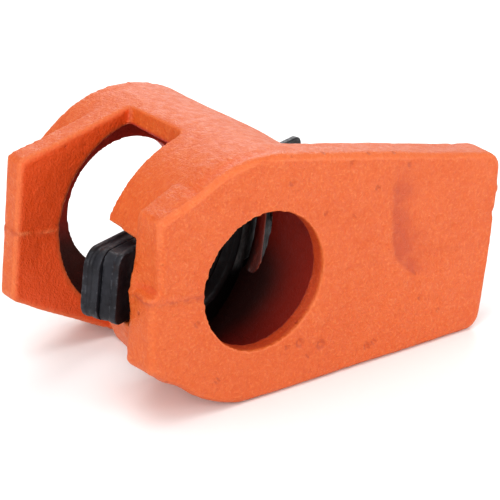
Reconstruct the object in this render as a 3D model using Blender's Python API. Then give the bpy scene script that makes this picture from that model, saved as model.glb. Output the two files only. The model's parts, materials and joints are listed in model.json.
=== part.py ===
"""Sliding jaw of a 3/4 inch pipe clamp: an iron casting, two clutch plates and their spring.

Everything is drawn in the casting's own frame, in metres:
    X  along the pipe, 0 at the jaw's pressing face, the barrel runs to -X
    Y  from the pipe's centre line towards the jaw's tip, the feet are at -Y
    Z  across the casting, 0 on its parting plane
The last step lays the casting on its side, where it rests on the tongue's tapered edge
and the barrel, and puts the origin under the middle of its bounding box.
"""
import math

import bmesh
import bpy
from mathutils import Matrix, Vector

MM = 0.001
GAP = 0.3 * MM

# Pipe passage and barrel
PIPE_BORE_R = 14.0 * MM          # clears the 26.7 mm outside diameter of 3/4 inch pipe
BARREL_R = 24.75 * MM
BARREL_REAR_X = -50.6 * MM
BARREL_WALL = 3.75 * MM
CAVITY_R = BARREL_R - BARREL_WALL
END_WALL = 3.5 * MM              # front and rear wall round the bore

# Front flange: jaw tongue, front rim and front foot, one plate
FLANGE_T = 8.0 * MM
FLANGE_R = 25.0 * MM
FLANGE_CENTRE_Y = -1.2 * MM      # the rim sits a little towards the foot
FLARE_START_X = -20.0 * MM       # from here the barrel widens to meet the rim
TIP_Y = 58.3 * MM
TIP_CROWN = 0.7 * MM             # the tip edge bows out this much between its corners
TIP_CORNER_R = 3.7 * MM
TAPER = math.radians(6.0)        # each side edge of the tongue
FRONT_FOOT_Y = -25.6 * MM
FRONT_FOOT_HALF_W = 15.2 * MM
FOOT_CORNER_R = 1.8 * MM
EDGE_ROUND = 1.0 * MM

# Rear foot flange
REAR_FLANGE_X = -39.1 * MM       # its front face
REAR_FLANGE_T = 5.0 * MM
REAR_FOOT_Y = -31.2 * MM
REAR_FOOT_UPPER_W = 15.0 * MM    # the mould halves are not quite alike
REAR_FOOT_LOWER_W = 14.0 * MM

CUT_THROUGH = 5.0 * MM           # how far a cutter runs on past the metal
FACE_SKIM = 0.1 * MM             # keeps two faces that would coincide apart

# Openings in the barrel
WINDOW_FRONT_X = -20.6 * MM
WINDOW_EDGE_Y = -6.7 * MM        # the window takes everything below this
WINDOW_CORNER_R = 2.5 * MM
SLOT_HALF_W = 8.6 * MM           # lever slot between foot and window
TIP_SLOT_FLOOR_Y = 18.3 * MM     # the plates pass out on the tip side, over this flat floor
TIP_SLOT_REAR_X = -41.4 * MM
TIP_SLOT_FRONT_X = -26.0 * MM
BAR_FRONT_X = -28.9 * MM         # a thin bar crosses the slot just ahead of the plates
BAR_TOP_Y = 22.4 * MM
BAR_CLEARANCE = 0.35 * MM        # from the front plate at rest

# Gusset and spring boss behind the tongue
RIB_HALF_T = 4.0 * MM
RIB_TOP_Y = 50.0 * MM
RIB_REAR_X = -16.5 * MM
RIB_LIP = 0.5 * MM               # how proud of the tongue the rib's upper end stands
BOSS_R = 6.4 * MM
SPRING_Y = 29.5 * MM             # the spring's centre line
SEAT_R = 4.6 * MM
SEAT_DEPTH = 5.0 * MM
ROOT_OVERLAP = 2.0 * MM          # how far rib and boss reach into the metal they stand on

# Clutch plates: both turn about one line in the tip-side slot
HINGE_X = -36.0 * MM
HINGE_Y = 23.0 * MM
PLATE_SIDE_SHIFT = -0.9 * MM     # lying down, the plates settle to the lower side
PLATE_T = 3.4 * MM
PLATE_TILT = math.radians(25.0)
HOLE_FROM_HINGE = 23.2 * MM      # on the pipe's axis when the plates stand at their bite angle
HOLE_R = 13.9 * MM
DISC_R = 18.4 * MM
LEVER_HALF_W = 7.1 * MM
FRONT_LEVER_END = 58.4 * MM      # from the hinge to the end of the lever tongue
REAR_LEVER_END = 59.4 * MM
NECK_HALF_W = 8.2 * MM
HEAD_START = 2.7 * MM            # from the hinge to the ears' lower side, above the slot's floor
FRONT_HEAD_END = 14.2 * MM       # from the hinge to the head's outer edge
REAR_HEAD_END = 13.0 * MM
FRONT_HEAD_HALF_W = 13.8 * MM
REAR_HEAD_HALF_W = 11.6 * MM
FRONT_LEVER_CORNER_R = 2.4 * MM
REAR_LEVER_CORNER_R = 3.6 * MM
HEAD_CORNER_R = 2.4 * MM
EAR_CORNER_R = 1.0 * MM
PLATE_EDGE = 0.4 * MM

# Spring
WIRE_R = 0.55 * MM
SPRING_R = 3.45 * MM             # centre line of the wire
SPRING_TURNS = 8
WIRE_SIDES = 6
STEPS_PER_TURN = 18

ROUND_STEPS = 72                 # sides of a full circle on the casting


# ---------------------------------------------------------------- helpers

def clear_scene():
    for obj in list(bpy.data.objects):
        bpy.data.objects.remove(obj, do_unlink=True)


def make_material(name, colour, roughness, metallic):
    mat = bpy.data.materials.new(name)
    mat.use_nodes = True
    shader = mat.node_tree.nodes["Principled BSDF"]
    shader.inputs["Base Color"].default_value = (*colour, 1.0)
    shader.inputs["Roughness"].default_value = roughness
    shader.inputs["Metallic"].default_value = metallic
    mat.diffuse_color = (*colour, 1.0)
    return mat


def link_mesh(name, bm, material=None):
    bmesh.ops.recalc_face_normals(bm, faces=bm.faces)
    mesh = bpy.data.meshes.new(name)
    bm.to_mesh(mesh)
    bm.free()
    obj = bpy.data.objects.new(name, mesh)
    bpy.context.scene.collection.objects.link(obj)
    if material:
        mesh.materials.append(material)
    return obj


def smooth(obj, angle=32.0):
    obj.data.shade_smooth()
    obj.data.set_sharp_from_angle(angle=math.radians(angle))


def arc(centre, radius, start, end, steps):
    """Points on an arc, both ends included; angles in radians from +first axis."""
    turn = (end - start) / steps
    return [(centre[0] + radius * math.cos(start + i * turn),
             centre[1] + radius * math.sin(start + i * turn)) for i in range(steps + 1)]


def round_corner(before, corner, after, radius, steps=5):
    """The corner of a path replaced by an arc that touches both its sides."""
    c = Vector(corner)
    a = (Vector(before) - c).normalized()
    b = (Vector(after) - c).normalized()
    half = a.angle(b) / 2
    reach = radius / math.tan(half)
    centre = c + (a + b).normalized() * (radius / math.sin(half))
    first = c + a * reach - centre
    last = c + b * reach - centre
    sweep = first.angle_signed(last)
    return [tuple(centre + Matrix.Rotation(-sweep * i / steps, 2) @ first)
            for i in range(steps + 1)]


def mirrored(half):
    """An outline from its half at positive second coordinate, closed by its mirror image."""
    other = [(y, -z) for y, z in reversed(half) if abs(z) > 1e-9]
    return list(half) + other


def loft(name, rings, material=None):
    """A closed solid through rings of equally many points, capped at both ends."""
    bm = bmesh.new()
    rows = [[bm.verts.new(p) for p in ring] for ring in rings]
    count = len(rows[0])
    for low, high in zip(rows, rows[1:]):
        for i in range(count):
            j = (i + 1) % count
            bm.faces.new((low[i], low[j], high[j], high[i]))
    bm.faces.new(rows[0])
    bm.faces.new(list(reversed(rows[-1])))
    return link_mesh(name, bm, material)


def along_x(outline, x):
    return [(x, y, z) for y, z in outline]


def circle(radius, centre_y=0.0, centre_z=0.0, steps=ROUND_STEPS):
    return arc((centre_y, centre_z), radius, 0, 2 * math.pi, steps)[:-1]


def rounded_edges(obj, width, segments=2, angle=50.0):
    bevel = obj.modifiers.new("edge_round", "BEVEL")
    bevel.width = width
    bevel.segments = segments
    bevel.limit_method = "ANGLE"
    bevel.angle_limit = math.radians(angle)
    return bevel


def combine(target, tool, operation):
    """A live Boolean; the tool stays in the scene as a hidden wire guide."""
    tool.display_type = "WIRE"
    tool.hide_render = True
    step = target.modifiers.new(tool.name, "BOOLEAN")
    step.operation = operation
    step.solver = "EXACT"
    step.object = tool


# ---------------------------------------------------------------- casting

def flange_outline():
    """Tongue, rim and front foot seen along the pipe: half of it, then mirrored."""
    tangent = math.pi / 2 - TAPER
    root = (FLANGE_CENTRE_Y + FLANGE_R * math.cos(tangent), FLANGE_R * math.sin(tangent))
    corner_y = TIP_Y - TIP_CROWN
    tip_z = root[1] - (corner_y - root[0]) * math.tan(TAPER)
    half = [(TIP_Y - TIP_CROWN * t * t, tip_z * t) for t in (0.0, 0.25, 0.5)]
    half += round_corner(half[-1], (corner_y, tip_z), root, TIP_CORNER_R)

    # The foot's side touches the barrel circle; the rim ends where it meets that side.
    foot = Vector((FRONT_FOOT_Y, FRONT_FOOT_HALF_W))
    lean = math.acos(BARREL_R / foot.length)
    touch = math.atan2(foot.y, foot.x) - lean
    side = Vector((BARREL_R * math.cos(touch), BARREL_R * math.sin(touch))) - foot
    centre = Vector((FLANGE_CENTRE_Y, 0.0))
    away = foot - centre
    a, b, c = side.dot(side), 2 * away.dot(side), away.dot(away) - FLANGE_R ** 2
    step = (-b - math.sqrt(b * b - 4 * a * c)) / (2 * a)
    notch = foot + side * step
    notch_angle = math.atan2(notch.y, notch.x - FLANGE_CENTRE_Y)

    half += arc((FLANGE_CENTRE_Y, 0.0), FLANGE_R, tangent, notch_angle, 12)
    half += round_corner(notch, foot, (FRONT_FOOT_Y, 0.0), FOOT_CORNER_R)
    half += [(FRONT_FOOT_Y, 0.0)]
    return mirrored(half)


def rear_flange_side(half_width):
    """From the tip side round the barrel, then out to one corner of the rear foot."""
    foot = Vector((REAR_FOOT_Y, half_width))
    touch = math.atan2(foot.y, foot.x) - math.acos(BARREL_R / foot.length)
    side = arc((0.0, 0.0), BARREL_R, 0.0, touch, 20)
    return side + round_corner(side[-1], foot, (REAR_FOOT_Y, 0.0), FOOT_CORNER_R)


def rear_flange_outline():
    lower = rear_flange_side(REAR_FOOT_LOWER_W)
    return rear_flange_side(REAR_FOOT_UPPER_W) + [(y, -z) for y, z in reversed(lower[1:])]


def barrel(material):
    plain = circle(BARREL_R)
    flared = circle(FLANGE_R - FACE_SKIM, FLANGE_CENTRE_Y)
    rings = [along_x(plain, BARREL_REAR_X), along_x(plain, FLARE_START_X),
             along_x(flared, -FLANGE_T + EDGE_ROUND)]
    return loft("jaw_body", rings, material)


def gusset():
    """The rib behind the tongue, from near the tip down into the barrel."""
    root_x = -FLANGE_T + ROOT_OVERLAP
    inner_y = BARREL_R - ROOT_OVERLAP
    side = [(root_x, RIB_TOP_Y), (-FLANGE_T - RIB_LIP, RIB_TOP_Y),
            (RIB_REAR_X, SPRING_Y + ROOT_OVERLAP), (RIB_REAR_X, inner_y), (root_x, inner_y)]
    rings = [[(x, y, z) for x, y in side] for z in (-RIB_HALF_T, RIB_HALF_T)]
    return loft("gusset_rib", rings)


def cylinder_x(name, radius, x0, x1, centre_y=0.0, steps=ROUND_STEPS):
    ring = circle(radius, centre_y, 0.0, steps)
    return loft(name, [along_x(ring, x0), along_x(ring, x1)])


def prism_z(name, side, half_width):
    """A cutter whose side view (x, y) is given, from -half_width to +half_width in Z."""
    return loft(name, [[(x, y, z) for x, y in side] for z in (-half_width, half_width)])


def window_cutter():
    """Takes the feet half of the barrel between the slot shells and the rear flange."""
    far = -2 * BARREL_R
    side = [(REAR_FLANGE_X, far), (REAR_FLANGE_X, WINDOW_EDGE_Y)]
    side += round_corner((REAR_FLANGE_X, WINDOW_EDGE_Y), (WINDOW_FRONT_X, WINDOW_EDGE_Y),
                         (WINDOW_FRONT_X, far), WINDOW_CORNER_R)
    side += [(WINDOW_FRONT_X, far)]
    return prism_z("window_cutter", side, 2 * BARREL_R)


def lever_slot_cutter():
    """Between the foot and the window; it stops just inside the foot's rear face."""
    back = WINDOW_FRONT_X - CUT_THROUGH
    front = -FLANGE_T + FACE_SKIM
    inner, outer = -0.5 * CAVITY_R, -2 * BARREL_R
    side = [(back, outer), (back, inner), (front, inner), (front, outer)]
    return prism_z("lever_slot_cutter", side, SLOT_HALF_W)


def tip_slot_cutter():
    """A flat-floored slot the plates' heads pass through, with the bar left standing in it."""
    def bar_rear_x(y):
        return plate_face_x(y) + BAR_CLEARANCE
    floor, outer = TIP_SLOT_FLOOR_Y, 1.4 * BARREL_R
    side = [(TIP_SLOT_REAR_X, floor), (bar_rear_x(floor), floor),
            (bar_rear_x(BAR_TOP_Y), BAR_TOP_Y), (BAR_FRONT_X, BAR_TOP_Y), (BAR_FRONT_X, floor),
            (TIP_SLOT_FRONT_X, floor), (TIP_SLOT_FRONT_X, outer), (TIP_SLOT_REAR_X, outer)]
    return prism_z("tip_slot_cutter", side, BARREL_R)


def jaw_body(material):
    body = barrel(material)
    flange = flange_outline()
    front = loft("front_flange", [along_x(flange, -FLANGE_T), along_x(flange, 0.0)])
    rounded_edges(front, EDGE_ROUND)
    outline = rear_flange_outline()
    # Slightly deeper than it will be: the window then trims its front face.
    rear = loft("rear_flange", [along_x(outline, REAR_FLANGE_X - REAR_FLANGE_T),
                                along_x(outline, REAR_FLANGE_X + 2 * FACE_SKIM)])
    boss = cylinder_x("spring_boss", BOSS_R, RIB_REAR_X, -FLANGE_T + ROOT_OVERLAP, SPRING_Y, 32)
    for tool in (front, rear, gusset(), boss):
        combine(body, tool, "UNION")

    cavity = cylinder_x("cavity", CAVITY_R, BARREL_REAR_X + END_WALL, -END_WALL)
    bore = cylinder_x("pipe_bore", PIPE_BORE_R, BARREL_REAR_X - CUT_THROUGH, CUT_THROUGH)
    seat = cylinder_x("spring_seat", SEAT_R, RIB_REAR_X - CUT_THROUGH, RIB_REAR_X + SEAT_DEPTH,
                      SPRING_Y, 32)
    for tool in (cavity, bore, window_cutter(), lever_slot_cutter(), tip_slot_cutter(), seat):
        combine(body, tool, "DIFFERENCE")
    return body


# ---------------------------------------------------------------- clutch plates

def disc_point(angle):
    return (HOLE_FROM_HINGE + DISC_R * math.cos(angle), DISC_R * math.sin(angle))


def plate_outline(lever_end, lever_corner_r, head_end, head_half_w):
    """Seen square on: first coordinate runs from the hinge to the lever's end."""
    lever_angle = math.asin(LEVER_HALF_W / DISC_R)
    neck_angle = math.pi - math.asin(NECK_HALF_W / DISC_R)
    half = [(lever_end, 0.0)]
    half += round_corner((lever_end, 0.0), (lever_end, LEVER_HALF_W), disc_point(lever_angle),
                         lever_corner_r)
    half += arc((HOLE_FROM_HINGE, 0.0), DISC_R, lever_angle, neck_angle, 14)
    half += [(HEAD_START, NECK_HALF_W)]
    half += round_corner((HEAD_START, NECK_HALF_W), (HEAD_START, head_half_w),
                         (-head_end, head_half_w), EAR_CORNER_R, 3)
    half += round_corner((HEAD_START, head_half_w), (-head_end, head_half_w), (-head_end, 0.0),
                         HEAD_CORNER_R)
    half += [(-head_end, 0.0)]
    return mirrored(half)


def clutch_plate(name, front_face, outline, material):
    """A stamped plate whose origin is on the hinge line; front_face is its offset from it."""
    # In the plate's own frame: local X is its thickness, local Y points to the tip.
    rings = [[(x, -u, w) for u, w in outline] for x in (front_face - PLATE_T, front_face)]
    plate = loft(name, rings, material)
    rounded_edges(plate, PLATE_EDGE, 1)
    hole_ring = [(-HOLE_FROM_HINGE - y, z) for y, z in circle(HOLE_R, 0.0, 0.0, 56)]
    hole = loft(name + "_hole_cutter", [along_x(hole_ring, front_face - 2 * PLATE_T),
                                        along_x(hole_ring, front_face + PLATE_T)])
    combine(plate, hole, "DIFFERENCE")
    turn = Matrix.Rotation(PLATE_TILT, 4, "Z")
    place = Matrix.Translation((HINGE_X, HINGE_Y, PLATE_SIDE_SHIFT)) @ turn
    plate.matrix_local = place
    hole.matrix_local = place
    return plate


def plate_face_x(y):
    """Where the front plate's front face is, at height y on the tip side."""
    offset = PLATE_T + GAP / 2
    face = Vector((HINGE_X + offset * math.cos(PLATE_TILT),
                   HINGE_Y + offset * math.sin(PLATE_TILT)))
    return face.x - math.tan(PLATE_TILT) * (y - face.y)


# ---------------------------------------------------------------- spring

def clutch_spring(material):
    """A compression coil from its seat to the tilted plate, its end coils closed."""
    seat_x = RIB_REAR_X + SEAT_DEPTH - GAP - WIRE_R
    steps = SPRING_TURNS * STEPS_PER_TURN
    closed = 1.0 / SPRING_TURNS
    pitch_left = 2.2 * WIRE_R

    def centre(i):
        t = i / steps
        angle = 2 * math.pi * SPRING_TURNS * t
        y = SPRING_Y + SPRING_R * math.cos(angle)
        z = SPRING_R * math.sin(angle)
        far_x = plate_face_x(y) + GAP / math.cos(PLATE_TILT) + 1.25 * WIRE_R
        ease = (t - closed) / (1 - 2 * closed)
        ease = min(max(ease, 0.0), 1.0)
        start_x = seat_x - pitch_left * min(t / closed, 1.0)
        end_x = far_x + pitch_left * min((1 - t) / closed, 1.0)
        return Vector((start_x + (end_x - start_x) * ease, y, z))

    points = [centre(i) for i in range(steps + 1)]
    rings = []
    for i, p in enumerate(points):
        ahead = points[min(i + 1, steps)] - points[max(i - 1, 0)]
        out = Vector((0.0, p.y - SPRING_Y, p.z)).normalized()
        across = ahead.cross(out).normalized()
        out = across.cross(ahead).normalized()
        rings.append([p + WIRE_R * (math.cos(a) * out + math.sin(a) * across)
                      for a in (2 * math.pi * k / WIRE_SIDES for k in range(WIRE_SIDES))])
    return loft("clutch_spring", rings, material)


# ---------------------------------------------------------------- assembly

def lay_on_side(frame, pieces):
    """Rest the casting on its tongue edge and barrel, origin under the box's middle."""
    frame.rotation_euler = (-TAPER, 0.0, 0.0)
    bpy.context.view_layer.update()
    graph = bpy.context.evaluated_depsgraph_get()
    corners = []
    for piece in pieces:
        solid = piece.evaluated_get(graph)
        corners += [solid.matrix_world @ v.co for v in solid.data.vertices]
    low = [min(c[i] for c in corners) for i in range(3)]
    high = [max(c[i] for c in corners) for i in range(3)]
    frame.location = (-(low[0] + high[0]) / 2, -(low[1] + high[1]) / 2, -low[2])


def main():
    clear_scene()
    enamel = make_material("orange_enamel", (0.86, 0.17, 0.045), 0.38, 0.0)
    blackened = make_material("blackened_steel", (0.045, 0.042, 0.045), 0.45, 0.7)
    spring_steel = make_material("spring_steel", (0.42, 0.41, 0.40), 0.35, 0.9)

    body = jaw_body(enamel)
    front = clutch_plate("clutch_plate_front", PLATE_T + GAP / 2,
                         plate_outline(FRONT_LEVER_END, FRONT_LEVER_CORNER_R,
                                       FRONT_HEAD_END, FRONT_HEAD_HALF_W), blackened)
    rear = clutch_plate("clutch_plate_rear", -GAP / 2,
                        plate_outline(REAR_LEVER_END, REAR_LEVER_CORNER_R,
                                      REAR_HEAD_END, REAR_HEAD_HALF_W), blackened)
    spring = clutch_spring(spring_steel)

    frame = bpy.data.objects.new("casting_frame", None)
    bpy.context.scene.collection.objects.link(frame)
    for obj in list(bpy.context.scene.collection.objects):
        if obj is not frame:
            obj.parent = frame
    pieces = [body, front, rear, spring]
    for piece in pieces:
        smooth(piece)
    lay_on_side(frame, pieces)


main()
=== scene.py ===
import json
import math

import bmesh
import bpy
import numpy as np
from mathutils import Matrix, Vector
from mathutils.geometry import tessellate_polygon


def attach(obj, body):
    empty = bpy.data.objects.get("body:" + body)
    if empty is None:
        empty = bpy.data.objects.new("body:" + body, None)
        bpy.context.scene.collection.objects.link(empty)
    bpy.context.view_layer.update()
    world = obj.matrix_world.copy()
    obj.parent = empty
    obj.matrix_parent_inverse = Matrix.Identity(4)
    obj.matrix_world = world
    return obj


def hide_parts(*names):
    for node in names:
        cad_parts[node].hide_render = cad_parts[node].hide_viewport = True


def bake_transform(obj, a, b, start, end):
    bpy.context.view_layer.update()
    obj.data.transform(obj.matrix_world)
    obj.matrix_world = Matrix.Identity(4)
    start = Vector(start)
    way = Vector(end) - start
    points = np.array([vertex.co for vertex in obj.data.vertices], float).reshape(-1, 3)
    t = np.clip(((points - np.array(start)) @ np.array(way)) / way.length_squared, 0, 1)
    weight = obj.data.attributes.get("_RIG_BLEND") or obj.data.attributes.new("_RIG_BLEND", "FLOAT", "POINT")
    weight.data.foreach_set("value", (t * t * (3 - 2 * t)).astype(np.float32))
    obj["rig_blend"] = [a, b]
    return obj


MM = 0.001
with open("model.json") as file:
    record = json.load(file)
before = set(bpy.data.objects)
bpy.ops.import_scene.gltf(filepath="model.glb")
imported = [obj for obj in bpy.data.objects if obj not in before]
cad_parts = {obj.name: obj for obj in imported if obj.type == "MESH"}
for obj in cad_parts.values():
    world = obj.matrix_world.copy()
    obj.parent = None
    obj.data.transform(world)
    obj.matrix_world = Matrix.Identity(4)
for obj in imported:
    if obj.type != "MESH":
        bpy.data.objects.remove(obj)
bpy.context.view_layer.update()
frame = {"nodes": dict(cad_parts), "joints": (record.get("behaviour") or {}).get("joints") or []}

# The casting's own frame, in which all details are placed (in mm): X along the pipe with 0 at
# the pressing face, Y towards the jaw's tip, Z across, 0 on the mould's parting plane.
TAPER = math.radians(6.0)
HINGE = Vector((-36.0, 23.0, -0.9))
LAY = Matrix.Rotation(-TAPER, 4, "X")
HINGE_IN_ROW = Vector(frame["joints"][0]["pos_m"])
TO_ROW = Matrix.Translation(HINGE_IN_ROW - LAY @ (HINGE * MM)) @ LAY @ Matrix.Scale(MM, 4)

# Camera: a long lens, a little above the jaw, looking at its pressing face from the feet side
VIEW_AZIMUTH = math.radians(53.16)
VIEW_ELEVATION = math.radians(24.01)
VIEW_ROLL = math.radians(0.886)
VIEW_DISTANCE = 498.1 * MM
VIEW_LENS = 179.25
VIEW_AIM = (-22.34, 13.466, -3.476)

# Light: name, place (m), disc diameter (m), power (W)
LIGHTS = (("key", (0.10, -0.25, 0.85), 0.6, 2.6),
          ("front_right", (0.56, 0.36, 0.17), 0.33, 1.65),
          ("left_fill", (0.35, -0.76, 0.40), 0.5, 3.4),
          ("back_sheen", (-0.62, 0.46, 0.46), 0.6, 3.0))
LIGHT_AIM = (0.0, 0.0, 0.02)
SKY_STRENGTH = 0.55
FLOOR_SIZE = 4.0

# Casting, as in the CAD
PIPE_BORE_R = 14.0
CAVITY_R = 21.0
CAVITY_FRONT_X = -3.5
REAR_WALL_X = -36.0
TIP_Y = 58.3
RIM_R = 25.0
RIM_CENTRE_Y = -1.2
BARREL_R = 24.75
FRONT_FOOT_Y = -25.6
FRONT_FOOT_HALF_W = 15.2

# Casting, what this script adds to it; the sand's grain is lump size, height, seed
VOXEL = 0.55
SMOOTHING = 5 * (0.5, -0.52)
BLURRING = 8 * (0.5,)
GRAIN = ((1.0, 0.03, 1), (2.1, 0.03, 2), (5.0, 0.05, 3), (13.0, 0.09, 4))
BEVEL_W = 0.8
BEVEL_DEPTH = 0.32
TOP_SWELL = 0.42
VALLEY_DEPTH = 0.28
VALLEY_BEHIND_FACE = 2.6
FOOT_SIDE_PROUD = 0.30
SPECK_DEPTH = 0.16
PIT_DEPTH = 0.35
LEDGE_ROUGHNESS = 0.38

# The rubbed hollow on the pressing face: its left side turns along a quarter of an ellipse,
# with its centre at this Y and Z and with this width and height
RUB_DEPTH = 0.45
RUB_TURN_Y = 40.5
RUB_TURN_Z = 9.0
RUB_TURN_W = 10.5
RUB_TURN_H = 14.0

# Clutch plates, as in the CAD; lengths run from the hinge
PLATE_T = 3.4
GAP = 0.3
PLATE_TILT = math.radians(25.0)
HOLE_FROM_HINGE = 23.2
HOLE_R = 13.9
DISC_R = 18.4
LEVER_HALF_W = 7.1
NECK_HALF_W = 8.2
HEAD_START = 2.7
HEAD_CORNER_R = 2.4
EAR_CORNER_R = 1.0
FRONT_LEVER_END = 58.4
FRONT_LEVER_CORNER_R = 2.4
FRONT_HEAD_END = 14.2
FRONT_HEAD_HALF_W = 13.8
REAR_LEVER_END = 59.4
REAR_LEVER_CORNER_R = 3.6
REAR_HEAD_END = 13.0
REAR_HEAD_HALF_W = 11.6

# Clutch plates, what this script adds: each is a little thicker, so that the gap is a thin
# line, and the front one's head stands lower on the back half of its thickness
PLATE_SWELL = 0.1
LOWERED_HEAD_HALF_W = 11.6
OUTLINE_STEP = 0.6
HOLE_STEPS = 120
FRONT_PLATE_FACE = PLATE_T + GAP / 2
REAR_PLATE_FACE = PLATE_SWELL - GAP / 2

# Spring, as in the CAD
SPRING_Y = 29.5
SPRING_R = 3.45
WIRE_R = 0.55
SPRING_TURNS = 8
SEAT_X = -11.5

# Spring, how finely it is drawn and how far its blend reaches past its two ends
STEPS_PER_TURN = 40
WIRE_SIDES = 12
BLEND_MARGIN = 2.0


# ---------------------------------------------------------------- camera and light

def make_camera():
    back = Vector((math.sin(VIEW_AZIMUTH) * math.cos(VIEW_ELEVATION),
                   -math.cos(VIEW_AZIMUTH) * math.cos(VIEW_ELEVATION),
                   math.sin(VIEW_ELEVATION)))
    level = Vector((math.cos(VIEW_AZIMUTH), math.sin(VIEW_AZIMUTH), 0.0))
    rise = back.cross(level)
    right = level * math.cos(VIEW_ROLL) + rise * math.sin(VIEW_ROLL)
    up = back.cross(right)
    data = bpy.data.cameras.new("camera")
    data.lens = VIEW_LENS
    data.sensor_width = 36.0
    data.clip_start = 0.01
    data.clip_end = 20.0
    camera = bpy.data.objects.new("camera", data)
    aim = TO_ROW @ Vector(VIEW_AIM)
    camera.matrix_world = (Matrix.Translation(aim + back * VIEW_DISTANCE)
                           @ Matrix((right, up, back)).transposed().to_4x4())
    bpy.context.scene.collection.objects.link(camera)
    bpy.context.scene.camera = camera


def area_light(name, at, size, power):
    data = bpy.data.lights.new(name, "AREA")
    data.shape = "DISK"
    data.size = size
    data.energy = power
    lamp = bpy.data.objects.new(name, data)
    away = Vector(at) - Vector(LIGHT_AIM)
    lamp.matrix_world = Matrix.Translation(at) @ away.to_track_quat("Z", "Y").to_matrix().to_4x4()
    bpy.context.scene.collection.objects.link(lamp)


def make_light():
    world = bpy.data.worlds.new("studio")
    world.use_nodes = True
    sky = world.node_tree.nodes["Background"]
    sky.inputs["Color"].default_value = (1.0, 1.0, 1.0, 1.0)
    sky.inputs["Strength"].default_value = SKY_STRENGTH
    bpy.context.scene.world = world
    bpy.context.scene.view_settings.view_transform = "Standard"
    bpy.context.scene.view_settings.look = "Medium High Contrast"
    for name, at, size, power in LIGHTS:
        area_light(name, at, size, power)


# ---------------------------------------------------------------- noise and masks

def hashed(i, j, k, seed):
    """A repeatable number from -1 to 1 at each lattice point."""
    n = ((i * 73856093) ^ (j * 19349663) ^ (k * 83492791) ^ (seed * 40503)) & 0xFFFFFFFF
    n = ((n ^ (n >> 13)) * 1274126177) & 0xFFFFFFFF
    n = n ^ (n >> 16)
    return (n & 0xFFFF) / 32767.5 - 1.0


def value_noise(p, size, seed):
    """Smooth noise from -1 to 1 whose lumps are about size mm across; p is n x 3, in mm."""
    q = np.asarray(p) / size
    base = np.floor(q).astype(np.int64)
    f = q - base
    f = f * f * (3 - 2 * f)
    total = np.zeros(len(q))
    for di in (0, 1):
        for dj in (0, 1):
            for dk in (0, 1):
                weight = (np.where(di, f[:, 0], 1 - f[:, 0]) * np.where(dj, f[:, 1], 1 - f[:, 1])
                          * np.where(dk, f[:, 2], 1 - f[:, 2]))
                total += weight * hashed(base[:, 0] + di, base[:, 1] + dj, base[:, 2] + dk, seed)
    return total


def ramp(value, start, end):
    """0 before start, 1 past end, smooth between; start may be the larger one."""
    t = np.clip((value - start) / (end - start), 0.0, 1.0)
    return t * t * (3 - 2 * t)


def bell(value, width):
    """1 where value is 0, falling smoothly to either side."""
    return np.exp(-(value / width) ** 2)


# ---------------------------------------------------------------- mesh helpers

def coordinates(mesh):
    co = np.zeros(len(mesh.vertices) * 3)
    mesh.vertices.foreach_get("co", co)
    return co.reshape(-1, 3)


def normals(mesh):
    n = np.zeros(len(mesh.vertices) * 3)
    mesh.vertex_normals.foreach_get("vector", n)
    return n.reshape(-1, 3)


def set_coordinates(mesh, co):
    mesh.vertices.foreach_set("co", np.ascontiguousarray(co, dtype=np.float64).ravel())
    mesh.update()


def edge_pairs(mesh):
    pairs = np.zeros(len(mesh.edges) * 2, np.int64)
    mesh.edges.foreach_get("vertices", pairs)
    return pairs.reshape(-1, 2)


def relaxed(co, pairs, strengths):
    """Each vertex moves towards the mean of its neighbours, once for each strength."""
    count = len(co)
    a, b = pairs[:, 0], pairs[:, 1]
    degree = np.bincount(a, minlength=count) + np.bincount(b, minlength=count)
    for strength in strengths:
        mean = np.stack([np.bincount(a, co[b, i], count) + np.bincount(b, co[a, i], count)
                         for i in range(3)], axis=1) / degree[:, None]
        co = co + strength * (mean - co)
    return co


def store(mesh, name, values):
    layer = mesh.attributes.new(name, "FLOAT", "POINT")
    layer.data.foreach_set("value", np.asarray(values, np.float32))


def skin(bm, rings):
    """Quads between each closed ring of vertices and the next."""
    for low, high in zip(rings, rings[1:]):
        for i in range(len(low)):
            j = (i + 1) % len(low)
            bm.faces.new((low[i], low[j], high[j], high[i]))


def finished_mesh(bm, name):
    """The bmesh as a smooth mesh whose faces all look outwards."""
    bmesh.ops.recalc_face_normals(bm, faces=bm.faces)
    mesh = bpy.data.meshes.new(name)
    bm.to_mesh(mesh)
    bm.free()
    mesh.shade_smooth()
    return mesh


def new_piece(name, mesh, material, body, node):
    """A piece that stands for a CAD node; without a body, its blend says what it rides on."""
    mesh.materials.clear()
    mesh.materials.append(material)
    piece = bpy.data.objects.new(name, mesh)
    bpy.context.scene.collection.objects.link(piece)
    if body:
        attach(piece, body)
    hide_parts(node)
    return piece


# ---------------------------------------------------------------- casting
#
# The bare numbers in a ramp over x, y, z or r are places in the casting's frame, in mm.

def voxel_copy(node):
    """The CAD node as an even quad mesh, in the casting's frame, in mm."""
    mesh = frame["nodes"][node].data.copy()
    mesh.transform(TO_ROW.inverted())
    source = bpy.data.objects.new("voxel_source", mesh)
    bpy.context.scene.collection.objects.link(source)
    remesh = source.modifiers.new("voxel", "REMESH")
    remesh.mode = "VOXEL"
    remesh.voxel_size = VOXEL
    graph = bpy.context.evaluated_depsgraph_get()
    result = bpy.data.meshes.new_from_object(source.evaluated_get(graph))
    bpy.data.objects.remove(source, do_unlink=True)
    return result


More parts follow.
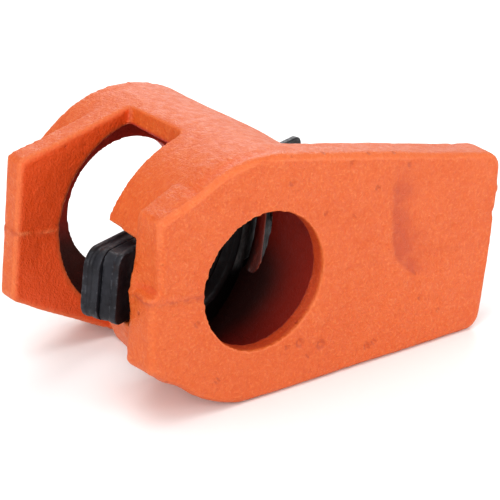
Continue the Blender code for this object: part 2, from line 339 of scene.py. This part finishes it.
# Pits on the pressing face: y, z, radius
FACE_PITS = ((10.3, -14.4, 0.8), (15.7, -15.6, 0.85), (7.4, -14.8, 0.5), (12.8, -17.4, 0.45),
             (27.7, -18.1, 0.65), (29.4, -17.4, 0.5), (-15.2, -6.3, 0.5), (18.1, 21.6, 0.45),
             (25.5, 15.7, 0.5), (37.8, -4.0, 0.45), (45.5, -13.0, 0.4), (-9.0, -19.0, 0.5),
             (20.1, 10.4, 0.45), (33.0, 19.6, 0.4), (4.0, 19.4, 0.5), (40.2, -9.6, 0.4),
             (13.3, 12.0, 0.4))


def pit_masks(co):
    """Each pit on the pressing face, below 0 on its raised rim, and the darker ring round it."""
    hollow = np.zeros(len(co))
    ring = np.zeros(len(co))
    for pit_y, pit_z, radius in FACE_PITS:
        away = np.hypot(co[:, 1] - pit_y, co[:, 2] - pit_z)
        hollow += bell(away, radius) - 0.3 * bell(away - 1.8 * radius, 0.6 * radius)
        ring += bell(away - 0.95 * radius, 0.5 * radius)
    on_face = ramp(co[:, 0], -1.5, -0.8)
    return hollow * on_face, ring * on_face


def face_inset(co):
    """How far each point is inside the outline of the pressing face, seen along the pipe."""
    y = co[:, 1]
    z = np.abs(co[:, 2])
    rim = RIM_R - np.hypot(y - RIM_CENTRE_Y, z)
    taper = RIM_R - z * math.cos(TAPER) - (y - RIM_CENTRE_Y) * math.sin(TAPER)
    tongue = np.minimum(np.minimum(taper, TIP_Y - y), y - RIM_CENTRE_Y)
    corner = math.hypot(FRONT_FOOT_Y, FRONT_FOOT_HALF_W)
    lean = math.atan2(FRONT_FOOT_HALF_W, FRONT_FOOT_Y) - math.acos(BARREL_R / corner)
    foot_side = BARREL_R - y * math.cos(lean) - z * math.sin(lean)
    foot = np.minimum(np.minimum(foot_side, y - FRONT_FOOT_Y), RIM_CENTRE_Y - y)
    return np.maximum(np.maximum(rim, tongue), foot)


def bevelled(co):
    """The pressing face falls away a little along its outline."""
    x = co[:, 0]
    fall = np.clip(1.0 - face_inset(co) / BEVEL_W, 0.0, 1.0)
    moved = co.copy()
    moved[:, 0] -= BEVEL_DEPTH * fall * ramp(x, -1.6, -0.3)
    return moved


def mould_mismatch(co):
    """The two mould halves don't quite meet: the feet are stepped at the parting plane."""
    x, y, z = co.T
    moved = co.copy()
    # The upper half's front foot starts further in and leans out, the lower half's the other way
    upper = 1.0 - 1.4 * (z - 2.0) / 13.9
    lower = -0.7 + 1.2 * (-z) / 14.0
    step = lower + (upper - lower) * ramp(z, -0.4, 1.2)
    front_foot = ramp(y, -20.5, -24.5) * ramp(x, -8.5, -2.0)
    moved[:, 1] += step * front_foot
    # The rear foot only leans
    rear_foot = ramp(y, -24.0, -29.0) * ramp(x, -37.0, -38.0)
    moved[:, 1] -= 0.024 * z * rear_foot
    return moved


def fuller_top(co):
    """The upper half of the barrel swells a little towards the flange, and the rim with it."""
    x, y, z = co.T
    r = np.hypot(y, z)
    swell = (ramp(x, -44.0, -20.0) * ramp(z, 2.0, 14.0) * ramp(r, CAVITY_R + 0.5, CAVITY_R + 2.5)
             * ramp(y, 50.0, 22.0) * ramp(y, -24.0, -14.0))
    moved = co.copy()
    moved[:, 2] += TOP_SWELL * swell
    return moved


def rim_valley(co, width):
    """1 along the shallow valley just behind the front flange's rim, fading towards the tip."""
    x, y, z = co.T
    outside = ramp(np.hypot(y, z), 20.0, 22.0)
    along = ramp(np.abs(z), 9.0, 15.0) * ramp(y, 8.0, -8.0) * ramp(y, -19.5, -17.8)
    return bell(x + VALLEY_BEHIND_FACE, width) * outside * along


def seam_height(co):
    """How far each point is above the parting line, which drops a little at the front foot."""
    x, y, z = co.T
    drop = 0.9 * ramp(y, -8.0, -15.0) * ramp(x, -12.0, -9.0)
    return z - 0.25 * value_noise(co, 6.0, 6) + drop


def casting_relief(co, n):
    """Height over the smooth shape, along the normal, in mm."""
    x, y, z = co.T
    outer = 1.0 - cavity_mask(co)
    calm = 0.35 + 0.65 * outer
    height = sum(rise * value_noise(co, size, seed) for size, rise, seed in GRAIN) * calm

    # Flash along the parting plane, broken in places
    broken = 0.55 + 0.45 * value_noise(co, 4.0, 5)
    along_x = 1.0 - ramp(np.abs(n[:, 0]), 0.75, 0.95)
    line = seam_height(co)
    feet = ramp(y, -8.0, -15.0)
    strength = np.maximum(0.35 + 0.65 * along_x, feet)
    height += (0.20 + 0.10 * feet) * bell(line, 0.55) * broken * outer * strength
    height -= (0.05 + 0.08 * feet) * bell(line - 0.9, 0.4) * outer

    # The valley behind the rim, and the foot's side a little proud of the barrel
    height -= VALLEY_DEPTH * rim_valley(co, 1.3)
    proud = (ramp(y, -17.0, -18.0) * ramp(y, -24.5, -20.0)
             * ramp(x, -8.8, -8.0) * ramp(x, -1.4, -2.4))
    height += FOOT_SIDE_PROUD * proud * outer

    # Gas pits all over, and the larger ones on the pressing face
    speck = ramp(value_noise(co, 1.5, 7), 0.70, 0.92)
    height -= SPECK_DEPTH * speck * outer
    face = ramp(n[:, 0], 0.8, 0.95) * ramp(x, -1.0, -0.5)
    height -= face * PIT_DEPTH * pit_masks(co)[0]

    # The rubbed hollow on the pressing face
    into = into_rub(co)
    hollow = (ramp(into, -0.4, 2.0) * ramp(into, 12.0, 2.0)
              * ramp(z, -6.0, -2.0) * ramp(z, 18.0, 8.0))
    height -= face * RUB_DEPTH * hollow

    # A coarse seam under the lever slot, and nicks on the tip edge
    ledge = (ramp(y, -17.0, -21.0) * ramp(z, -7.0, -9.0)
             * ramp(x, -23.0, -20.0) * ramp(x, -7.0, -9.0))
    height += LEDGE_ROUGHNESS * ledge * value_noise(co, 1.5, 8)
    tip = ramp(y, TIP_Y - 3.0, TIP_Y - 1.0)
    height += tip * (0.30 * bell(z - 11.5, 0.7) - 0.35 * bell(z - 6.2, 0.8))
    return height


def cavity_mask(co):
    """1 on the surfaces inside the barrel and on the rear bore, 0 outside."""
    x, y, z = co.T
    r = np.hypot(y, z)
    hollow = (ramp(r, CAVITY_R + 1.1, CAVITY_R + 0.3)
              * ramp(x, CAVITY_FRONT_X + 0.9, CAVITY_FRONT_X))
    end = ramp(x, -50.3, -49.6)
    slot = (ramp(y, 16.0, 18.0) * ramp(r, CAVITY_R + 3.4, CAVITY_R + 2.4)
            * ramp(x, -25.2, -26.4) * ramp(x, -42.2, -41.2)) * 0.6
    rear_flange = (ramp(x, REAR_WALL_X - 2.6, REAR_WALL_X - 3.2)
                   * ramp(r, PIPE_BORE_R + 0.5, PIPE_BORE_R + 1.2))
    rear_flange *= 1 - ramp(x, -46.0, -47.0)
    return np.maximum(hollow * end * (1 - rear_flange), slot)


def into_rub(co):
    """How far a point is past the left side of the rubbed hollow, which curves round below."""
    y, z = co[:, 1], co[:, 2]
    below = np.clip((RUB_TURN_Z - z) / RUB_TURN_H, 0.0, 1.0)
    above = np.maximum(z - RUB_TURN_Z, 0.0)
    left = RUB_TURN_Y - RUB_TURN_W * np.sqrt(1.0 - below ** 2) - 0.2 * above
    return y - left + 0.5 * value_noise(co, 3.0, 11)


def rub_and_shade_mask(co):
    """The darker smear on the pressing face, partly a rub stain and partly painted shade of the rubbed
    hollow: a crisp left side that fades towards the tip.
    """
    x, z = co[:, 0], co[:, 2]
    into = into_rub(co)
    core = 0.8 * ramp(into, -0.3, 1.2) * ramp(into, 8.5, 1.0) * ramp(z, 23.0, 9.0)
    streaks = ramp(into, 0.0, 3.0) * ramp(into, 13.0, 8.0) * bell(z - 3.0, 4.5)
    upper = ramp(into, -0.5, 3.0) * ramp(into, 12.0, 4.0) * bell(z - 15.0, 5.0)
    patchy = 0.75 + 0.2 * value_noise(co, 2.2, 12) + 0.2 * value_noise(co, 1.1, 13)
    total = (core + 0.42 * streaks + 0.36 * upper) * ramp(z, -5.4, -3.2) * patchy
    return np.clip(total * ramp(x, -1.2, -0.6), 0.0, 1.0)


def enamel_masks(co, n, bulge):
    """What the enamel reads at each point; bulge is how far it stands over its surroundings."""
    x, y, z = co.T
    inside = cavity_mask(co)
    bore_wall = (ramp(np.hypot(y, z), PIPE_BORE_R + 0.7, PIPE_BORE_R + 0.3) * ramp(x, -0.2, -0.9)
                 * ramp(x, CAVITY_FRONT_X - 1.0, CAVITY_FRONT_X))
    rear_inner_face = ramp(n[:, 0], 0.6, 0.9) * ramp(x, REAR_WALL_X, REAR_WALL_X - 2.0)
    line = seam_height(co)
    # A painted highlight along the raised flash on the rear flange's inner face
    raised_line = bell(line, 0.42) * ramp(y, -12.0, -16.0) * rear_inner_face
    # The upper part of the pressing face's bevel is painted lighter, as a highlight
    lit_bevel = ramp(face_inset(co), 0.95, 0.6) * ramp(x, -1.4, -0.9) * ramp(z, 8.0, 14.0)
    fainter = 0.8 * ramp(x, -1.5, -0.6) * ramp(y, -4.0, 10.0) + 0.8 * rear_inner_face
    return {
        # painted shade inside the barrel and on the rear bore, half as strong on the front bore's wall
        "inside": np.maximum(inside, 0.5 * bore_wall),
        # painted highlight on convex edges and on the upper bevel, painted shade in creases
        "edge": np.clip(bulge / 0.25 + 0.65 * lit_bevel, -1.0, 1.0),
        # painted highlight along the raised flash on the rear flange's inner face
        "line": raised_line * (0.7 + 0.4 * value_noise(co, 3.0, 14)),
        # the smear, partly a rub stain and partly painted shade of the rubbed hollow
        "rub_and_shade": rub_and_shade_mask(co),
        # painted shade: a redder colour on the rear flange's inner face and in the valley behind the rim
        "painted_shade_red": np.maximum(rear_inner_face, 0.3 * rim_valley(co, 1.7)),
        "pit": pit_masks(co)[1],
        "seam": bell(line, 0.55) * (1 - inside) * (1 - fainter),
        # painted shadow: deep in the barrel and low down, towards the plates
        "deep": ramp(x, -10.0, -28.0) * ramp(z, 4.0, -14.0) * inside,
    }


def make_casting(material):
    mesh = voxel_copy("jaw_body")
    pairs = edge_pairs(mesh)
    co = relaxed(coordinates(mesh), pairs, SMOOTHING)
    co = fuller_top(mould_mismatch(bevelled(co)))
    set_coordinates(mesh, co)
    n = normals(mesh)
    bulge = np.einsum("ij,ij->i", co - relaxed(co, pairs, BLURRING), n)
    relief = casting_relief(co, n)
    set_coordinates(mesh, co + n * relief[:, None])
    for name, values in enamel_masks(co, n, bulge).items():
        store(mesh, name, values)
    mesh.transform(TO_ROW)
    mesh.shade_smooth()
    return new_piece("jaw_casting", mesh, material, "casting", "jaw_body")


# ---------------------------------------------------------------- clutch plates

def arc(centre, radius, start, end, steps):
    turn = (end - start) / steps
    return [Vector((centre + radius * math.cos(start + i * turn),
                    radius * math.sin(start + i * turn))) for i in range(steps + 1)]


def round_corner(before, corner, after, radius, steps=8):
    """The corner of a path replaced by an arc that touches both its sides."""
    a = (before - corner).normalized()
    b = (after - corner).normalized()
    half = a.angle(b) / 2
    centre = corner + (a + b).normalized() * (radius / math.sin(half))
    first = corner + a * (radius / math.tan(half)) - centre
    last = corner + b * (radius / math.tan(half)) - centre
    sweep = first.angle_signed(last)
    return [centre + Matrix.Rotation(-sweep * i / steps, 2) @ first for i in range(steps + 1)]


def plate_outline(lever_end, lever_corner_r, head_end, head_half_w):
    """Seen square on, evenly spaced; the first coordinate runs from hinge to lever end."""
    lever_angle = math.asin(LEVER_HALF_W / DISC_R)
    neck_angle = math.pi - math.asin(NECK_HALF_W / DISC_R)
    disc = arc(HOLE_FROM_HINGE, DISC_R, lever_angle, neck_angle, 30)
    neck = Vector((HEAD_START, NECK_HALF_W))
    ear = Vector((HEAD_START, head_half_w))
    outer = Vector((-head_end, head_half_w))
    half = [Vector((lever_end, 0.0))]
    half += round_corner(half[0], Vector((lever_end, LEVER_HALF_W)), disc[0], lever_corner_r)
    half += disc + [neck]
    half += round_corner(neck, ear, outer, EAR_CORNER_R)
    half += round_corner(ear, outer, Vector((-head_end, 0.0)), HEAD_CORNER_R)
    half += [Vector((-head_end, 0.0))]
    path = half + [Vector((p.x, -p.y)) for p in reversed(half[1:-1])]
    return evenly(path, OUTLINE_STEP)


def evenly(path, step):
    """A closed path resampled so that its points are about step apart."""
    points = []
    for a, b in zip(path, path[1:] + path[:1]):
        parts = max(1, round((b - a).length / step))
        points += [a.lerp(b, i / parts) for i in range(parts)]
    return points


def outward(path):
    """Unit outward normals of a closed path that runs anticlockwise."""
    result = []
    for i in range(len(path)):
        along = path[(i + 1) % len(path)] - path[i - 1]
        result.append(Vector((along.y, -along.x)).normalized())
    return result


# The sheared edge from the rolled-over side to the burred side: depth, inset, roughness, wear.
# The last depth is PLATE_T + PLATE_SWELL.
PLAIN_EDGE = ((0.00, 0.24, 0.0, 0.2), (0.03, 0.12, 0.0, 0.6), (0.10, 0.05, 0.02, 0.9),
              (0.25, 0.01, 0.03, 0.6), (0.55, 0.00, 0.03, 0.3), (1.15, 0.00, 0.03, 0.3),
              (1.30, 0.12, 0.08, 0.8), (1.75, 0.17, 0.12, 0.2), (2.35, 0.19, 0.13, 0.0),
              (2.95, 0.16, 0.12, 0.1), (3.32, 0.10, 0.07, 0.5), (3.46, 0.10, 0.03, 0.9),
              (3.50, 0.14, 0.0, 0.3))
GROOVED_EDGE = ((0.00, 0.20, 0.0, 0.2), (0.03, 0.10, 0.0, 0.6), (0.10, 0.04, 0.03, 0.8),
                (0.30, 0.02, 0.04, 0.3), (1.40, 0.03, 0.06, 0.4), (1.52, 0.20, 0.05, 0.0),
                (1.95, 0.26, 0.04, 0.0), (2.38, 0.20, 0.05, 0.0), (2.50, 0.04, 0.06, 0.7),
                (2.90, 0.02, 0.05, 0.4), (3.36, 0.05, 0.04, 0.6), (3.46, 0.10, 0.02, 0.9),
                (3.50, 0.16, 0.0, 0.3))


def lowered_head(p):
    """On the back half of the front plate's thickness the head's upper side stands lower."""
    if p.x > HEAD_START + 0.5 or p.y < NECK_HALF_W:
        return p
    share = (LOWERED_HEAD_HALF_W - NECK_HALF_W) / (FRONT_HEAD_HALF_W - NECK_HALF_W)
    return Vector((p.x, NECK_HALF_W + (p.y - NECK_HALF_W) * share))


def edge_rings(bm, path, side, front_face, profile, seed, back_half):
    """The sheared edge along a path; side is -1 for an outline and 1 for a hole.

    The steel reads two masks: wear on the edges, and painted shade on the part inside the barrel.
    """
    wear = bm.verts.layers.float["wear"]
    barrel_shade = bm.verts.layers.float["barrel_shade"]
    out = outward(path)
    rings = []
    for depth, inset, rough, worn in profile:
        flat = [p + o * side * inset for p, o in zip(path, out)]
        if back_half and depth > PLATE_T / 2:
            flat = [back_half(p) for p in flat]
        place = np.array([(depth, p.x, p.y) for p in flat])
        jitter = rough * value_noise(place, 0.8, seed)
        ring = []
        for p, o, j in zip(flat, out, jitter):
            q = p + o * side * j
            vert = bm.verts.new((front_face - depth, -q.x, q.y))
            vert[wear] = worn
            # painted shade on the part of the plate inside the barrel
            vert[barrel_shade] = float(ramp(q.x, 24.0, 13.0) * ramp(q.x, -1.0, 3.0))
            ring.append(vert)
        rings.append(ring)
    skin(bm, rings)
    return rings


def cap(bm, rings):
    """A flat face between an outline and its hole, with crisp edges."""
    flat = [[Vector((v.co.y, v.co.z, 0.0)) for v in ring] for ring in rings]
    verts = rings[0] + rings[1]
    for tri in tessellate_polygon(flat):
        bm.faces.new([verts[i] for i in tri])
    for ring in rings:
        for i, vert in enumerate(ring):
            edge = bm.edges.get((vert, ring[(i + 1) % len(ring)]))
            edge.smooth = False


def make_plate(name, node, body, front_face, outline, profile, material, seed, back_half=None):
    """A stamped plate with its rolled-over side to the front; its thickness is along X.

    back_half, if given, moves each point of an outline on the back half of the thickness.
    """
    if sum(a.cross(b) for a, b in zip(outline, outline[1:] + outline[:1])) < 0:
        outline = outline[::-1]
    hole = arc(HOLE_FROM_HINGE, HOLE_R, 0.0, 2 * math.pi, HOLE_STEPS)[:-1]
    bm = bmesh.new()
    bm.verts.layers.float.new("wear")
    bm.verts.layers.float.new("barrel_shade")
    outer = edge_rings(bm, outline, -1.0, front_face, profile, seed, back_half)
    inner = edge_rings(bm, hole, 1.0, front_face, profile, seed, back_half)
    cap(bm, (outer[0], inner[0]))
    cap(bm, (outer[-1], inner[-1]))
    mesh = finished_mesh(bm, name)
    tilt = Matrix.Translation(HINGE) @ Matrix.Rotation(PLATE_TILT, 4, "Z")
    mesh.transform(TO_ROW @ tilt)
    return new_piece(name, mesh, material, body, node)


# ---------------------------------------------------------------- spring

def plate_face_x(y):
    """Where the front plate's front face is at height y."""
    face_x = HINGE.x + FRONT_PLATE_FACE * math.cos(PLATE_TILT)
    face_y = HINGE.y + FRONT_PLATE_FACE * math.sin(PLATE_TILT)
    return face_x - math.tan(PLATE_TILT) * (y - face_y)


def make_spring(material):
    """A coil whose first turn lies closed on the boss and whose last lies on the front plate."""
    steps = STEPS_PER_TURN * SPRING_TURNS
    seat_x = SEAT_X - GAP - WIRE_R
    closed = 1.0 / SPRING_TURNS
    pitch = 2.2 * WIRE_R

    def centre(i):
        t = i / steps
        angle = 2 * math.pi * SPRING_TURNS * t
        y = SPRING_Y + SPRING_R * math.cos(angle)
        z = SPRING_R * math.sin(angle)
        far_x = plate_face_x(y) + GAP / math.cos(PLATE_TILT) + 1.25 * WIRE_R
        ease = min(max((t - closed) / (1 - 2 * closed), 0.0), 1.0)
        start_x = seat_x - pitch * min(t / closed, 1.0)
        end_x = far_x + pitch * min((1 - t) / closed, 1.0)
        return Vector((start_x + (end_x - start_x) * ease, y, z))

    points = [centre(i) for i in range(steps + 1)]
    bm = bmesh.new()
    rings = []
    for i, p in enumerate(points):
        ahead = points[min(i + 1, steps)] - points[max(i - 1, 0)]
        out = Vector((0.0, p.y - SPRING_Y, p.z)).normalized()
        across = ahead.cross(out).normalized()
        out = across.cross(ahead).normalized()
        rings.append([bm.verts.new(p + WIRE_R * (math.cos(a) * out + math.sin(a) * across))
                      for a in (2 * math.pi * k / WIRE_SIDES for k in range(WIRE_SIDES))])
    skin(bm, rings)
    bm.faces.new(rings[0])
    bm.faces.new(list(reversed(rings[-1])))
    mesh = finished_mesh(bm, "spring_coil")
    mesh.set_sharp_from_angle(angle=math.radians(60))
    mesh.transform(TO_ROW)
    spring = new_piece("spring_coil", mesh, material, None, "clutch_spring")
    near = TO_ROW @ Vector((SEAT_X - BLEND_MARGIN, SPRING_Y, 0.0))
    far = TO_ROW @ Vector((plate_face_x(SPRING_Y) + BLEND_MARGIN, SPRING_Y, 0.0))
    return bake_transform(spring, "casting", "front_plate", near, far)


# ---------------------------------------------------------------- materials

class Nodes:
    """Short forms for building a material's node tree."""

    def __init__(self, name):
        self.material = bpy.data.materials.new(name)
        self.material.use_nodes = True
        self.tree = self.material.node_tree
        self.shader = self.tree.nodes["Principled BSDF"]
        self.place = self.tree.nodes.new("ShaderNodeTexCoord").outputs["Object"]

    def link(self, value, socket):
        """Links a node's output to the socket, or sets a number or colour on it."""
        if isinstance(value, bpy.types.NodeSocket):
            self.tree.links.new(value, socket)
        elif isinstance(value, tuple):
            socket.default_value = (*value, 1.0) if len(value) == 3 else value
        else:
            socket.default_value = value

    def noise(self, size, detail=2.0, rough=0.5, stretch=None):
        """Noise whose lumps are about size mm across."""
        node = self.tree.nodes.new("ShaderNodeTexNoise")
        node.inputs["Scale"].default_value = 1.0 / (size * MM)
        node.inputs["Detail"].default_value = detail
        node.inputs["Roughness"].default_value = rough
        place = self.place
        if stretch:
            mapping = self.tree.nodes.new("ShaderNodeMapping")
            mapping.inputs["Scale"].default_value = stretch
            self.link(place, mapping.inputs["Vector"])
            place = mapping.outputs["Vector"]
        self.link(place, node.inputs["Vector"])
        return node.outputs["Fac"]

    def sparse_spots(self, spacing, radius, share):
        """1 in round spots, one to each cell of this spacing (mm), kept in a share of them."""
        node = self.tree.nodes.new("ShaderNodeTexVoronoi")
        node.inputs["Scale"].default_value = 1.0 / (spacing * MM)
        self.link(self.place, node.inputs["Vector"])
        spot = self.spread(node.outputs["Distance"], radius, 0.4 * radius)
        part = self.tree.nodes.new("ShaderNodeSeparateColor")
        self.link(node.outputs["Color"], part.inputs["Color"])
        return self.math("MULTIPLY", spot, self.math("LESS_THAN", part.outputs["Red"], share))

    def attribute(self, name):
        node = self.tree.nodes.new("ShaderNodeAttribute")
        node.attribute_name = name
        return node.outputs["Fac"]

    def spread(self, value, low, high, to_low=0.0, to_high=1.0):
        """to_low where value is low, to_high where it is high, smooth between."""
        node = self.tree.nodes.new("ShaderNodeMapRange")
        node.interpolation_type = "SMOOTHSTEP"
        for socket, number in (("Value", value), ("From Min", low), ("From Max", high),
                               ("To Min", to_low), ("To Max", to_high)):
            self.link(number, node.inputs[socket])
        return node.outputs["Result"]

    def math(self, operation, a, b):
        node = self.tree.nodes.new("ShaderNodeMath")
        node.operation = operation
        self.link(a, node.inputs[0])
        self.link(b, node.inputs[1])
        return node.outputs["Value"]

    def mix(self, amount, a, b):
        """Colour a, or b where amount is 1; the node's colour sockets are 6, 7 and 2."""
        node = self.tree.nodes.new("ShaderNodeMix")
        node.data_type = "RGBA"
        self.link(amount, node.inputs["Factor"])
        self.link(a, node.inputs[6])
        self.link(b, node.inputs[7])
        return node.outputs[2]

    def bump(self, height, distance, strength=1.0, before=None):
        """A bump of this distance (mm), on top of an earlier one."""
        node = self.tree.nodes.new("ShaderNodeBump")
        node.inputs["Distance"].default_value = distance * MM
        node.inputs["Strength"].default_value = strength
        self.link(height, node.inputs["Height"])
        if before:
            self.link(before, node.inputs["Normal"])
        return node.outputs["Normal"]

    def finish(self, colour, roughness, metallic, normal, **fixed):
        self.link(colour, self.shader.inputs["Base Color"])
        self.link(roughness, self.shader.inputs["Roughness"])
        self.link(metallic, self.shader.inputs["Metallic"])
        self.link(normal, self.shader.inputs["Normal"])
        for name, value in fixed.items():
            self.shader.inputs[name.replace("_", " ")].default_value = value
        return self.material


def enamel():
    """Orange enamel sprayed over a sand casting."""
    m = Nodes("orange_enamel")
    orange, deep, pale = (0.575, 0.100, 0.011), (0.555, 0.090, 0.008), (0.595, 0.118, 0.019)
    grain_low, grain_glint = (0.50, 0.060, 0.008), (0.68, 0.190, 0.055)
    shade_red = (0.74, 0.072, 0.005)
    pit_dark, seam_dirt, smear_and_shade = (0.30, 0.030, 0.008), (0.38, 0.05, 0.012), (0.42, 0.052, 0.009)
    crease_shade, edge_highlight = (0.52, 0.055, 0.008), (0.72, 0.19, 0.06)
    flash_highlight = (0.85, 0.28, 0.11)
    inner_shade, inner_shadow = (0.44, 0.028, 0.010), (0.065, 0.015, 0.011)

    # The paint itself and its grain, with painted glints on the grain's high spots, and a redder painted
    # shade on the rear flange's inner face and in the valley behind the rim
    colour = m.mix(m.spread(m.noise(14.0, 2.0), 0.38, 0.66), orange, deep)
    colour = m.mix(m.spread(m.noise(1.5, 3.0, 0.65), 0.42, 0.68, 0.0, 0.7), colour, pale)
    grain = m.noise(0.6, 3.0, 0.6)
    colour = m.mix(m.spread(grain, 0.50, 0.34, 0.0, 0.35), colour, grain_low)
    # Painted glints: the grain's high spots are lighter, as highlights
    colour = m.mix(m.spread(grain, 0.54, 0.68, 0.0, 0.45), colour, grain_glint)
    # Painted shade: redder on the rear flange's inner face and in the valley behind the rim
    colour = m.mix(m.spread(m.attribute("painted_shade_red"), 0.0, 1.0, 0.0, 0.7), colour, shade_red)

    # Darker spots in and round the pits, painted highlights on convex edges and on the raised flash, painted
    # shade in creases, and the smear on the face, dark partly as a rub stain and partly as painted shade of
    # its hollow
    pits = m.sparse_spots(3.4, 0.16, 0.30)
    dirt = m.math("MAXIMUM", m.math("MULTIPLY", pits, 0.55),
                  m.spread(m.attribute("pit"), 0.2, 0.9, 0.0, 0.42))
    colour = m.mix(dirt, colour, pit_dark)
    edge = m.attribute("edge")
    colour = m.mix(m.spread(edge, -0.15, -0.8, 0.0, 0.5), colour, crease_shade)
    colour = m.mix(m.spread(edge, 0.25, 0.9, 0.0, 0.35), colour, edge_highlight)
    colour = m.mix(m.spread(m.attribute("line"), 0.1, 0.9, 0.0, 0.6), colour, flash_highlight)
    colour = m.mix(m.spread(m.attribute("rub_and_shade"), 0.0, 1.0, 0.0, 0.85), colour, smear_and_shade)
    seam = m.math("MULTIPLY", m.attribute("seam"), m.spread(m.noise(2.0), 0.36, 0.56, 0.0, 0.7))
    colour = m.mix(seam, colour, seam_dirt)

    # Inside the barrel: painted shade, and a painted shadow that is darkest low down towards the plates
    colour = m.mix(m.spread(m.attribute("inside"), 0.1, 0.9), colour, inner_shade)
    # Painted shadow: nearly black low down in the barrel, towards the plates
    colour = m.mix(m.spread(m.attribute("deep"), 0.0, 0.8), colour, inner_shadow)

    normal = m.bump(m.noise(1.5, 2.0), 0.20, 0.8)
    normal = m.bump(grain, 0.19, 1.0, normal)
    normal = m.bump(m.noise(0.30, 2.0), 0.08, 0.6, normal)
    normal = m.bump(m.math("SUBTRACT", 1.0, pits), 0.16, 0.9, normal)
    roughness = m.spread(m.noise(2.0, 3.0), 0.3, 0.7, 0.46, 0.60)
    return m.finish(colour, roughness, 0.0, normal, Specular_IOR_Level=0.55)


def black_steel():
    """Blackened stamped steel, a little rubbed on its edges, with painted shade on the part inside the
    barrel.
    """
    m = Nodes("blackened_steel")
    black, blue, brown = (0.012, 0.011, 0.014), (0.024, 0.024, 0.030), (0.034, 0.017, 0.013)
    bare_steel, barrel_shade = (0.085, 0.085, 0.095), (0.004, 0.003, 0.004)
    colour = m.mix(m.spread(m.noise(5.0, 4.0, 0.6), 0.38, 0.65), black, blue)
    rusty = m.spread(m.noise(2.4, 4.0, 0.65), 0.58, 0.75, 0.0, 0.55)
    colour = m.mix(rusty, colour, brown)
    worn = m.math("MULTIPLY", m.attribute("wear"), m.spread(m.noise(0.9, 4.0, 0.65), 0.42, 0.66))
    colour = m.mix(m.spread(worn, 0.15, 0.9, 0.0, 0.8), colour, bare_steel)
    # Painted shade: the part inside the barrel is nearly black
    colour = m.mix(m.spread(m.attribute("barrel_shade"), 0.0, 1.0, 0.0, 0.9), colour, barrel_shade)
    normal = m.bump(m.noise(1.6, 3.0, 0.55), 0.10, 0.6)
    normal = m.bump(m.noise(0.35, 3.0, 0.6), 0.06, 0.7, normal)
    roughness = m.spread(m.noise(1.2, 4.0), 0.3, 0.7, 0.38, 0.60)
    return m.finish(colour, roughness, 0.2, normal, Specular_IOR_Level=0.3)


def spring_wire():
    """Drawn spring wire, with fine lines across and a little tarnish."""
    m = Nodes("spring_wire")
    light, dark, tarnish = (0.46, 0.45, 0.43), (0.30, 0.29, 0.28), (0.12, 0.09, 0.07)
    colour = m.mix(m.spread(m.noise(1.5, 3.0), 0.35, 0.7), light, dark)
    colour = m.mix(m.spread(m.noise(0.5, 2.0), 0.62, 0.74, 0.0, 0.6), colour, tarnish)
    normal = m.bump(m.noise(0.25, 2.0, 0.5, (0.15, 1.0, 1.0)), 0.02, 0.5)
    roughness = m.spread(m.noise(0.8, 3.0), 0.3, 0.7, 0.24, 0.40)
    return m.finish(colour, roughness, 1.0, normal)


def floor_paper():
    """Plain pale paper."""
    m = Nodes("floor_paper")
    colour = m.mix(m.noise(40.0, 2.0), (0.90, 0.90, 0.90), (0.92, 0.92, 0.92))
    return m.finish(colour, 0.7, 0.0, m.bump(m.noise(0.8, 2.0), 0.02, 0.2))


# ---------------------------------------------------------------- scene

def make_floor():
    bpy.ops.mesh.primitive_plane_add(size=FLOOR_SIZE)
    floor = bpy.context.object
    floor.name = "floor"
    floor.data.materials.append(floor_paper())


make_camera()
make_light()
make_floor()
make_casting(enamel())
steel = black_steel()
front_outline = plate_outline(FRONT_LEVER_END, FRONT_LEVER_CORNER_R, FRONT_HEAD_END,
                              FRONT_HEAD_HALF_W)
rear_outline = plate_outline(REAR_LEVER_END, REAR_LEVER_CORNER_R, REAR_HEAD_END, REAR_HEAD_HALF_W)
make_plate("clutch_plate_front_stamping", "clutch_plate_front", "front_plate", FRONT_PLATE_FACE,
           front_outline, PLAIN_EDGE, steel, 21, back_half=lowered_head)
make_plate("clutch_plate_rear_stamping", "clutch_plate_rear", "rear_plate", REAR_PLATE_FACE,
           rear_outline, GROOVED_EDGE, steel, 22)
make_spring(spring_wire())
